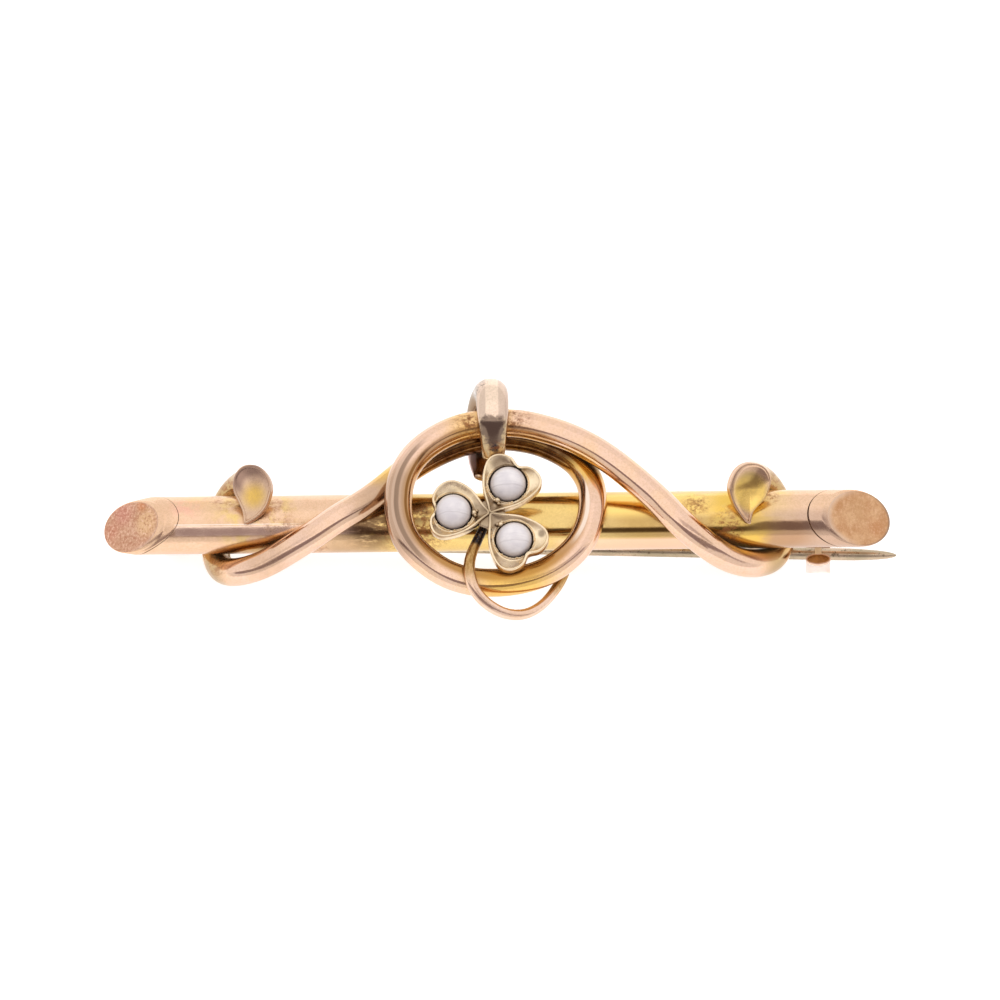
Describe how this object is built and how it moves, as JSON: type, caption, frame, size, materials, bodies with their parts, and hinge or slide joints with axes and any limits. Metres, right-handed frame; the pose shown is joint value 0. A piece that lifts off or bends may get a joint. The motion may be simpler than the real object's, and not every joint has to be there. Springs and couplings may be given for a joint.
{
  "type": "clover bar brooch",
  "caption": "Gold bar brooch with a wire vine wound round the bar, a looped ring holding a clover set with half pearls, and a hinged pin with a hook catch at the back.",
  "frame": {"origin": "on the surface that the brooch lies on, under the middle of its bounding box", "axes": "+X along the bar towards the pointed end of the pin, +Y up the face towards the collar, +Z out of the face"},
  "size_m": [0.0484, 0.0156, 0.0106],
  "materials": {
    "rose_gold": "polished, pink in places, with brown tarnish specks",
    "matte_gold": "matte and finely brushed, with a soft polished rim",
    "yellow_gold": "polished with light wear",
    "green_gold": "satin, olive, with bright rims",
    "pearl": "pearly lustre",
    "pin_metal": "dull, grey-olive"
  },
  "bodies": {
    "brooch": {"bar_tube": "rose_gold", "end_cap_left": "matte_gold", "end_cap_right": "matte_gold", "vine": "rose_gold", "leaf_left": "yellow_gold", "leaf_right": "yellow_gold", "collar": "rose_gold", "clover_setting": "green_gold", "clover_stem": "rose_gold", "pearl_left": "pearl", "pearl_top": "pearl", "pearl_right": "pearl", "hinge_bracket": "yellow_gold", "hinge_rivet": "yellow_gold", "catch": "yellow_gold"},
    "pin": {"pin": "pin_metal"}
  },
  "joints": [
    {"name": "pin_hinge", "type": "hinge", "parent": "brooch", "child": "pin", "pos_m": [-0.0196, 0.00059, 0.0008], "axis": [0, 0, -1], "range_deg": [0, 65]}
  ]
}
